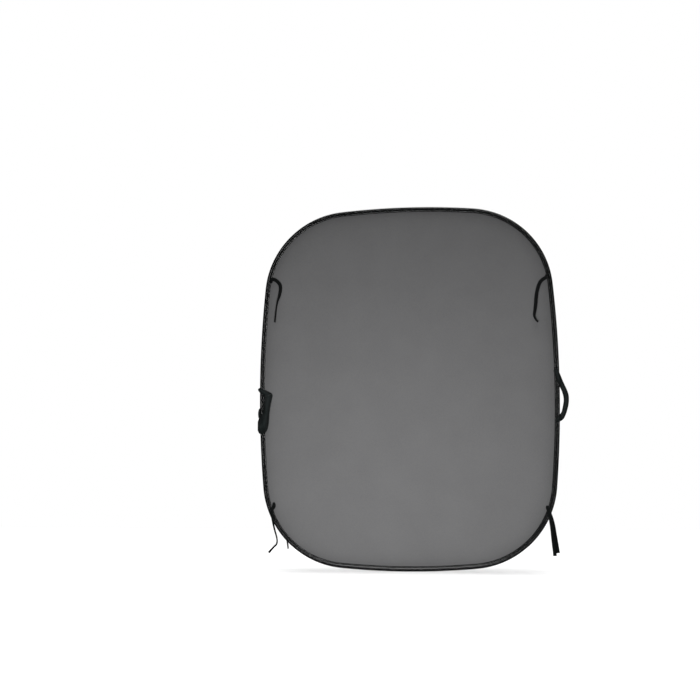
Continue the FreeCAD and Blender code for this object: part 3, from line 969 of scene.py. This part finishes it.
def edge_height(inset, along, edge):
    """Half depth of the edge with its ripples: short puckers in the corners and long low ones
    elsewhere, both growing from the nose towards the flaps."""
    puckers = edge.corner_ripple * in_corners(along) * gathers(along, 0.0069, 0.5)
    ripples = edge.run_ripple * gathers(along, 0.027, 0.7)
    share = 0.30 * smooth(inset, 0.002, 0.007) + 0.70 * smooth(inset, 0.009, 0.015)
    return tunnel_height(inset) + (puckers + ripples) * share


def edge_insets():
    """Insets of the edge's profile from the front hem, round the nose, to the back hem, and which
    face each is on: even steps on the flap and the tunnel, then even angles round the nose."""
    turn = np.linspace(math.pi / 2, 0, 7)
    nose = TUNNEL_MIDDLE * (1 - np.cos(turn))
    flap = np.linspace(BINDING_WIDTH, TUNNEL_MIDDLE, 20)[:-1]
    half = np.concatenate([flap, nose])
    insets = np.concatenate([half, half[-2::-1]])
    faces = np.concatenate([np.full(len(half), FRONT), np.full(len(half) - 1, BACK)])
    return insets, faces


class BACKDROP_OT_edge(bpy.types.Operator):
    """Makes the tape folded round the edge, span by span, and the hoop inside it"""

    bl_idname = "backdrop.edge"
    bl_label = "Edge tape and hoop"

    def execute(self, context):
        edge = context.scene.backdrop_edge
        tape = tape_material("edge_tape_weave", edge.colour, 0.0010, 0.60, 0.20, 0.0)
        steel = steel_material("spring_steel", (0.36, 0.38, 0.42), 0.32)
        insets, faces = edge_insets()
        for span in spans():
            spacing = CORNER_RINGS if span.near > 0.2 else RUN_RINGS
            spacing = SIDE_RINGS if span.is_side else spacing
            runs = edge_runs(span, insets, spacing, 1)
            slabs = [self.tape_slab(run, insets, faces, span, edge) for run in runs]
            piece = slab_piece(f"edge_tape_{span.name}", slabs, tape)
            span.attach(piece, span.nodes("binding"), "edge_binding")
            hoop = slab_piece(f"steel_hoop_{span.name}", self.hoop_slabs(span), steel)
            span.attach(hoop, span.nodes("hoop"), "hoop_steel")
        return {"FINISHED"}

    def tape_slab(self, run, insets, faces, span, edge):
        """One run of tape: its outside from the edge's profile at each ring, its inside one wall
        thickness behind along the normals."""
        x, z = outline_at(run, insets[None, :])
        height = edge_height(insets[None, :], run, edge)
        outside = np.stack([span.sign * x, faces[None, :] * height, z + MIDDLE_Z], axis=-1)
        normals = grid_normals(outside)
        middle = len(insets) // 2
        outwards = np.array([span.sign * (x[2, middle] - 0.5 * x[2, 0] - 0.5 * x[2, -1]), 0,
                             z[2, middle] - 0.5 * z[2, 0] - 0.5 * z[2, -1]])
        normals = normals * np.sign(normals[2, middle] @ outwards)
        outside, normals = outside[1:-1], normals[1:-1]
        inside = outside - TAPE_WALL * normals
        width = lengths_along(outside, 1)
        uv = np.stack([span.sign * run[1:-1], width], axis=-1)
        return slab_arrays(outside, inside, normals, uv)

    def hoop_slabs(self, span):
        """The band: a flat strip on edge, as an outer and an inner face, each three points wide."""
        insets = np.array([HOOP_INSET - HOOP_THICKNESS / 2, HOOP_INSET + HOOP_THICKNESS / 2])
        half = np.array([-HOOP_WIDTH / 2, 0.0, HOOP_WIDTH / 2])
        slabs = []
        for run in edge_runs(span, insets, HOOP_RINGS, 0):
            sheets = []
            for column in range(2):
                x, z = outline_at(run[:, column], insets[column])
                x, z = np.repeat(x[:, None], 3, 1), np.repeat(z[:, None], 3, 1)
                y = np.repeat(half[None, :], len(x), 0)
                sheets.append(np.stack([span.sign * x, y, z + MIDDLE_Z], axis=-1))
            slabs.append(slab_arrays(*sheets))
        return slabs


class BACKDROP_OT_stitching(bpy.types.Operator):
    """Makes the two rows of stitches through each flap of the edge"""

    bl_idname = "backdrop.stitching"
    bl_label = "Edge stitching"

    def execute(self, context):
        edge = context.scene.backdrop_edge
        thread = thread_material("sewing_thread", edge.thread)
        count = round(2 * QUARTER / edge.stitch)
        along = (np.arange(count) + 0.5) * 2 * QUARTER / count
        for span in spans():
            places, ways, outs = [], [], []
            for inset in (SEAM_INSET, HEM_SEAM_INSET):
                x, z = outline_at(along, inset)
                next_x, next_z = outline_at(along + MM, inset)
                keep = (x >= span.near) & (span.is_side | (x < span.far))
                height = edge_height(inset, along, edge) + THREAD_LIFT
                way = np.stack([span.sign * (next_x - x), 0 * x, next_z - z], axis=1)
                way /= np.linalg.norm(way, axis=1, keepdims=True)
                for _, face in FACES:
                    places.append(np.stack([span.sign * x, face * height, z + MIDDLE_Z], axis=1)[keep])
                    ways.append(way[keep])
                    outs.append(np.tile([0.0, face, 0.0], (keep.sum(), 1)))
            places, ways, outs = (np.concatenate(group) for group in (places, ways, outs))
            stitch = STITCH_FILL * edge.stitch
            name = f"edge_stitching_{span.name}"
            piece = stitch_piece(name, places, ways, outs, stitch, THREAD_RADIUS, thread)
            span.attach(piece, (), "edge_binding")
        return {"FINISHED"}


# ---------------------------------------------------------------- cloths


def cloth_height(x, z, cloth):
    """How far a cloth's face stands out at a point, with z from the panel's middle: its own
    thickness, ripples that run in from the seam and die away, and two crossed broad waves."""
    inset, along = rim_place(x, z)
    start = BINDING_WIDTH + 0.001
    free = smooth(inset, start, start + 0.010)
    fade = np.exp(-np.maximum(inset - start, 0) / 0.022)
    corner = in_corners(along)
    ripple = gathers(along, 0.0138, 0.8) * corner + gathers(along, 0.031, 0.8) * 0.35 * (1 - corner)
    crossed = np.sin(9.1 * x + 2.3 * z + 1.1) * np.sin(6.3 * z - 1.7 * x + 0.4)
    broad = (crossed + 0.5 * np.sin(13.7 * x + 8.3 * z)) / 1.5
    spread = smooth(inset, start, 0.16)
    return CLOTH_FACE + free * (cloth.gather * ripple * fade + cloth.wave * broad * spread)


def cloth_grid(span):
    """x and z (from the middle) of a span's points, as a grid. A strip has even columns, and rows
    from its lower to its upper edge that crowd towards the seam; the side has even rows, each from
    the strip's line out to the edge."""
    crowd = 0.42 * math.pi
    if span.is_side:
        tip = 0.0004
        _, top = outline_at(along_at(span.near, CLOTH_INSET), CLOTH_INSET)
        z = np.linspace(-1, 1, 241)[:, None] * (top - tip)
        corner_r, side_r = CORNER_RADIUS - CLOTH_INSET, SIDE_BOW_RADIUS - CLOTH_INSET
        high = np.abs(z)
        in_corner = high > CORNER_Z + corner_r * math.sin(LOW)
        corner_x = CORNER_X + np.sqrt(np.maximum(corner_r**2 - (high - CORNER_Z) ** 2, 0))
        side_x = SIDE_X + np.sqrt(side_r**2 - high**2)
        reach = np.where(in_corner, corner_x, side_x)
        share = np.sin(np.linspace(0, crowd, 25))[None, :] / math.sin(crowd)
        return span.near + share * (reach - span.near), np.repeat(z, 25, 1)
    x = np.linspace(span.near, span.far, 31)[:, None]
    _, top = outline_at(along_at(x, CLOTH_INSET), CLOTH_INSET)
    share = np.sin(np.linspace(-crowd, crowd, 181))[None, :] / math.sin(crowd)
    return np.repeat(x, 181, 1), share * top


class BACKDROP_OT_cloths(bpy.types.Operator):
    """Makes the light front cloth and the dark back cloth, span by span"""

    bl_idname = "backdrop.cloths"
    bl_label = "Cloths"

    def execute(self, context):
        cloth = context.scene.backdrop_cloth
        finishes = {
            "front": cloth_material("front_cloth_weave", cloth.front, cloth.pitch, 0.10, 0.0),
            "back": cloth_material("back_cloth_weave", cloth.back, cloth.pitch, 0.05, 0.0),
        }
        for side, face in FACES:
            for span in spans():
                piece, area, flat = self.cloth_piece(side, face, span, cloth, finishes[side])
                span.attach(piece, span.nodes(f"{side}_cloth"), f"{side}_cloth")
        return {"FINISHED"}

    def cloth_piece(self, side, face, span, cloth, material):
        """One span of cloth. Its normals come from the slope of its height, so that they match the
        next span's at the joint. Also returns its area and the size of rectangle it is cut from."""
        x, z = cloth_grid(span)
        x = span.sign * x
        step = 0.0005
        height = cloth_height(x, z, cloth)
        slope_x = (cloth_height(x + step, z, cloth) - cloth_height(x - step, z, cloth)) / (2 * step)
        slope_z = (cloth_height(x, z + step, cloth) - cloth_height(x, z - step, cloth)) / (2 * step)
        normals = np.stack([-slope_x, np.full_like(x, face), -slope_z], axis=-1)
        normals /= np.linalg.norm(normals, axis=2, keepdims=True)
        outer = np.stack([x, face * height, z + MIDDLE_Z], axis=-1)
        inner = np.stack([x, np.full_like(x, face * CLOTH_INSIDE), z + MIDDLE_Z], axis=-1)
        inset, along = rim_place(x, z)
        # the UV's second number is the inset from the edge, which sets the painted shade beside the seam
        arrays = slab_arrays(outer, inner, normals, np.stack([along, inset], axis=-1))
        piece = slab_piece(f"{side}_fabric_{span.name}", [arrays], material)
        across, down = np.gradient(inner, axis=0), np.gradient(inner, axis=1)
        cells = np.linalg.norm(np.cross(across, down), axis=2)
        weight = np.ones_like(cells)
        weight[[0, -1], :] *= 0.5
        weight[:, [0, -1]] *= 0.5
        area = float((cells * weight).sum())
        flat = (round(float(np.ptp(x)), 4), round(float(np.ptp(z)), 4))
        return piece, round(min(area, flat[0] * flat[1]), 5), flat


# ---------------------------------------------------------------- handles

# Edges of each handle's webbing as it lies, in millimetres (x, z), from its upper end to its lower
RIGHT_OUTER = ((728, -824), (734, -836), (757, -896), (777, -942), (781, -972), (777, -1010),
               (764, -1052), (748, -1080), (722, -1088))
RIGHT_INNER = ((709, -836), (714, -852), (733, -908), (747, -933), (757, -974), (750, -1013),
               (743, -1040), (736, -1049), (718, -1060))
LEFT_OUTER = ((-746, -909), (-743, -905), (-722, -909), (-697, -922), (-668, -937), (-677, -968),
              (-687, -1026), (-690, -1090), (-701, -1128), (-726, -1139), (-742, -1129), (-746, -1116))
LEFT_INNER = ((-746, -917), (-743, -922), (-732, -933), (-718, -944), (-713, -958), (-716, -985),
              (-719, -1020), (-728, -1046), (-736, -1056), (-741, -1060), (-744, -1064), (-746, -1072))
LEFT_FOLD = ((-716, -950), (-668, -936))
HANDLE_FOLD_X = JOINTS["right_handle_fold"]["pos_m"][0]
FOLD_ZONE = 0.0035
HANDLE_OUT = HANDLE_FOLD_X - PANEL_WIDTH / 2
LEFT_LEVEL = 0.0081
STRAP_COLUMNS = 15
STRAP_BOW = 0.0030
STRAP_TWIST = 0.0035
STRAP_BUCKLE = 0.0012
RIGHT_WIDTH = 0.023
LEFT_WIDTH = 0.025
LAP_STEP = 0.0017
BEAD_RADIUS = 0.0013
BEADS = ((-0.908, -0.918), (-1.070, -1.118))
SEWN_LOOPS = ((-0.903, -0.923), (-1.006, -1.062), (-1.066, -1.122))
# Corners of the right handle's two box stitches, in millimetres (x, z)
SEWN_BOXES = (
    ((715, -840), (729, -834), (732, -872), (721, -868)),
    ((722, -1057), (735, -1052), (734, -1066), (723, -1073)),
)


def strap_grid(outer, inner, stations):
    """A strap's middle surface, and the share along it and across it (from -1 to 1) at each point:
    its two edges as smooth lines of evenly spaced points, and a straight mix between them."""
    lines = []
    for points in (outer, inner):
        x, z = np.array(points, float).T * MM
        control = np.stack([x, np.zeros(len(x)), z], axis=1)
        lines.append(evenly(route_line("strap_edge", control), stations)[0][:, None])
    mix = np.linspace(0, 1, STRAP_COLUMNS)[None, :, None]
    middle = lines[0] * (1 - mix) + lines[1] * mix
    return middle, np.linspace(0, 1, stations)[:, None], np.linspace(-1, 1, STRAP_COLUMNS)[None, :]


def over_the_edge(x, z):
    """How far the right strap stands in front of the panel: nothing at the fold line, rising in a
    smooth step over the nose to the top of the tunnel, then just above the bound edge."""
    inset, _ = rim_place(x, z - MIDDLE_Z)
    crest = TUNNEL_HALF_DEPTH + 0.0011
    climb = crest * smooth(inset, -HANDLE_OUT, 0.003)
    lying = tunnel_height(np.clip(inset, TUNNEL_MIDDLE, BINDING_WIDTH - 0.001)) + 0.0014
    return np.where(inset < TUNNEL_MIDDLE, climb, np.minimum(lying, crest))


def round_the_fold(x):
    """How far the left strap stands in front: it climbs from the fold line in a quarter sine to its
    level clear of the tunnel and stays there."""
    inset = x + PANEL_WIDTH / 2
    return LEFT_LEVEL * np.sin(0.5 * math.pi * np.clip((inset + HANDLE_OUT) / 0.014, 0, 1))


def crowned_half(half):
    """Half thickness across a strap: full in the middle, thinner lips and rounded edges."""
    across = np.abs(np.linspace(-1, 1, STRAP_COLUMNS))
    return half * (0.86 + 0.14 * np.cos(math.pi * across)) * (0.35 + 0.65 * np.sqrt(1 - across**6))


def strap_slab(middle, half, width):
    """A strap's slab about its middle surface, crowned across."""
    along = lengths_along(middle, 0).mean(axis=1)
    return strip_slab(middle, crowned_half(half), along, width)


def sewn_box(corners):
    """Places and directions of stitches round a four-cornered box and along its two diagonals, on the
    front of the right strap."""
    a, b, c, d = (np.array(corner, float) * MM for corner in corners)
    lines = ((a, b), (b, c), (c, d), (d, a), (a, c), (b, d))
    places, ways = [], []
    for start, end in lines:
        length = float(np.linalg.norm(end - start))
        count = max(2, round(length / BOX_PITCH))
        share = ((np.arange(count) + 0.5) / count)[:, None]
        spots = start + share * (end - start)
        out = over_the_edge(spots[:, 0], spots[:, 1]) + BOX_LIFT
        places.append(np.stack([spots[:, 0], -out, spots[:, 1]], axis=1))
        way = (end - start) / length
        ways.append(np.tile([way[0], 0.0, way[1]], (count, 1)))
    return np.concatenate(places), np.concatenate(ways)


class BACKDROP_OT_handles(bpy.types.Operator):
    """Makes the two webbing handles, their sewn ends and their box stitches"""

    bl_idname = "backdrop.handles"
    bl_label = "Handles"

    def execute(self, context):
        straps = context.scene.backdrop_straps
        webbing = webbing_material("handle_webbing_weave", straps.webbing, 0.26, 0.45, 0.02)
        thread = bpy.data.materials["sewing_thread"]
        self.right_handle(straps, webbing, thread)
        self.left_handle(straps, webbing)
        return {"FINISHED"}

    def right_handle(self, straps, webbing, thread):
        """One strap, sewn on the front of the edge at both ends, and its box stitches."""
        middle, share, across = strap_grid(RIGHT_OUTER, RIGHT_INNER, 150)
        x, z = middle[..., 0], middle[..., 2]
        free = smooth(x, HANDLE_FOLD_X + FOLD_ZONE, HANDLE_FOLD_X + 0.018)
        bow = STRAP_BOW * np.sin(math.pi * share)
        twist = STRAP_TWIST * across * np.sin(2.6 * math.pi * share + 0.4)
        middle[..., 1] = -over_the_edge(x, z) - free * (bow + twist)
        slab = strap_slab(middle, straps.webbing_half, RIGHT_WIDTH)
        piece = slab_piece("right_handle_strap", [slab], webbing)
        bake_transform(piece)
        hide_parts("right_handle", "right_handle_ends")
        boxes = [sewn_box(corners) for corners in SEWN_BOXES]
        places, ways = (np.concatenate(group) for group in zip(*boxes))
        outs = np.tile([0.0, FRONT, 0.0], (len(places), 1))
        name = "right_handle_stitching"
        stitches = stitch_piece(name, places, ways, outs, BOX_STITCH, BOX_THREAD_RADIUS, thread)
        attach(stitches, "right_4")

    def left_handle(self, straps, webbing):
        """A strap folded over the front, that turns on a bead along its fold line, and the two ends
        that come out of the edge to meet it."""
        middle, share, across = strap_grid(LEFT_OUTER, LEFT_INNER, 190)
        x, z = middle[..., 0], middle[..., 2]
        free = smooth(x, -PANEL_WIDTH / 2 + 0.006, -PANEL_WIDTH / 2 + 0.03)
        bow = STRAP_BOW * np.sin(math.pi * share)
        buckles = STRAP_BUCKLE * (1 + across) * (1 + np.sin(17 * share))
        middle[..., 1] = -round_the_fold(x) - free * (bow + buckles) - self.lapped(x, z)
        slabs = [strap_slab(middle, straps.webbing_half, LEFT_WIDTH)]
        slabs += [self.bead(*ends) for ends in BEADS]
        piece = slab_piece("left_handle_strap", slabs, webbing)
        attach(piece, "left_handle")
        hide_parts("left_handle")
        ends = [self.sewn_end(straps, *span) for span in SEWN_LOOPS]
        sewn = slab_piece("left_handle_sewn_ends", ends, webbing)
        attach(sewn, "left_4")
        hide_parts("left_handle_ends")

    def lapped(self, x, z):
        """The step where the strap is folded over itself at its corner: the part below the slanting
        fold stands in front by the webbing's thickness, and sinks back along its way down."""
        (x1, z1), (x2, z2) = (np.array(point) * MM for point in LEFT_FOLD)
        below = ((z1 - z) * (x2 - x1) - (x1 - x) * (z2 - z1)) / math.hypot(x2 - x1, z2 - z1)
        return LAP_STEP * smooth(below, -0.0008, 0.0008) * (1 - smooth(below, 0.02, 0.12))

    def bead(self, high, low):
        """The rolled fold: a slim barrel about the fold line, radius by angle and height, fuller in
        its middle."""
        z = np.linspace(high + 0.001, low - 0.001, 40)[:, None]
        turn = np.linspace(0, 2 * math.pi, 17)[None, :]
        middle, half = (high + low) / 2, abs(high - low) / 2 + 0.001
        rounding = np.sqrt(np.maximum(1 - np.abs((z - middle) / half) ** 8, 0.02))
        grids = []
        for radius in (BEAD_RADIUS, BEAD_RADIUS * 0.35):
            r = radius * rounding
            x = -HANDLE_FOLD_X + r * np.cos(turn)
            y = r * np.sin(turn)
            grids.append(np.stack([x, y, z + 0 * turn], axis=-1))
        return slab_arrays(*grids)

    def sewn_end(self, straps, high, low):
        """A small loop of webbing that stands out of the edge as far as the fold line: its outline is
        half of a full ellipse, and it thins towards its rim as a root of the distance from it."""
        turn = np.linspace(0.02, math.pi - 0.02, 40)[:, None]
        share = np.linspace(0, 1, 12)[None, :]
        root = -PANEL_WIDTH / 2 + 0.0035
        reach = HANDLE_OUT + 0.0035
        x = root - share * reach * np.sin(turn) ** 0.7
        z = (high + low) / 2 + (high - low) / 2 * np.cos(turn) + 0 * share
        half = straps.webbing_half * np.sqrt(1.02 - share**4) * np.sin(turn) ** 0.3
        front = np.stack([x, -half, z], axis=-1)
        back = np.stack([x, half, z], axis=-1)
        return slab_arrays(front, back)


class BACKDROP_OT_fittings(bpy.types.Operator):
    """Gives the hoop's sleeve and rivets their metal finishes"""

    bl_idname = "backdrop.fittings"
    bl_label = "Sleeve and rivets"

    def execute(self, context):
        finishes = {
            "hoop_sleeve": steel_material("sleeve_metal", (0.55, 0.56, 0.57), 0.28),
            "hoop_rivets": steel_material("rivet_alloy", (0.62, 0.62, 0.62), 0.36),
        }
        for node, material in finishes.items():
            slots = frame["nodes"][node].material_slots
            if not slots:
                frame["nodes"][node].data.materials.append(material)
            for slot in slots:
                slot.material = material
        return {"FINISHED"}


# ---------------------------------------------------------------- panel and registration

STEPS = (
    BACKDROP_OT_stage,
    BACKDROP_OT_ties,
    BACKDROP_OT_edge,
    BACKDROP_OT_stitching,
    BACKDROP_OT_cloths,
    BACKDROP_OT_handles,
    BACKDROP_OT_fittings,
)


class BACKDROP_PT_sidebar(bpy.types.Panel):
    """Lists the steps in the 3D view's sidebar"""

    bl_idname = "BACKDROP_PT_sidebar"
    bl_label = "Backdrop panel"
    bl_space_type = "VIEW_3D"
    bl_region_type = "UI"
    bl_category = "Backdrop"

    def draw(self, context):
        for step in STEPS:
            self.layout.operator(step.bl_idname)
        for name in SETTINGS:
            group = getattr(context.scene, name)
            for key in group.__annotations__:
                self.layout.prop(group, key)


SETTINGS = {
    "backdrop_cloth": BackdropCloth,
    "backdrop_edge": BackdropEdge,
    "backdrop_straps": BackdropStraps,
    "backdrop_stage": BackdropStage,
}


def register():
    for kind in (*SETTINGS.values(), *STEPS, BACKDROP_PT_sidebar):
        bpy.utils.register_class(kind)
    for name, kind in SETTINGS.items():
        setattr(bpy.types.Scene, name, bpy.props.PointerProperty(type=kind))


def unregister():
    for name in SETTINGS:
        delattr(bpy.types.Scene, name)
    for kind in (BACKDROP_PT_sidebar, *reversed(STEPS), *SETTINGS.values()):
        bpy.utils.unregister_class(kind)


def main():
    """Makes everything, in order."""
    register()
    for step in STEPS:
        group, operator = step.bl_idname.split(".")
        getattr(getattr(bpy.ops, group), operator)()


if __name__ == "__main__":
    main()
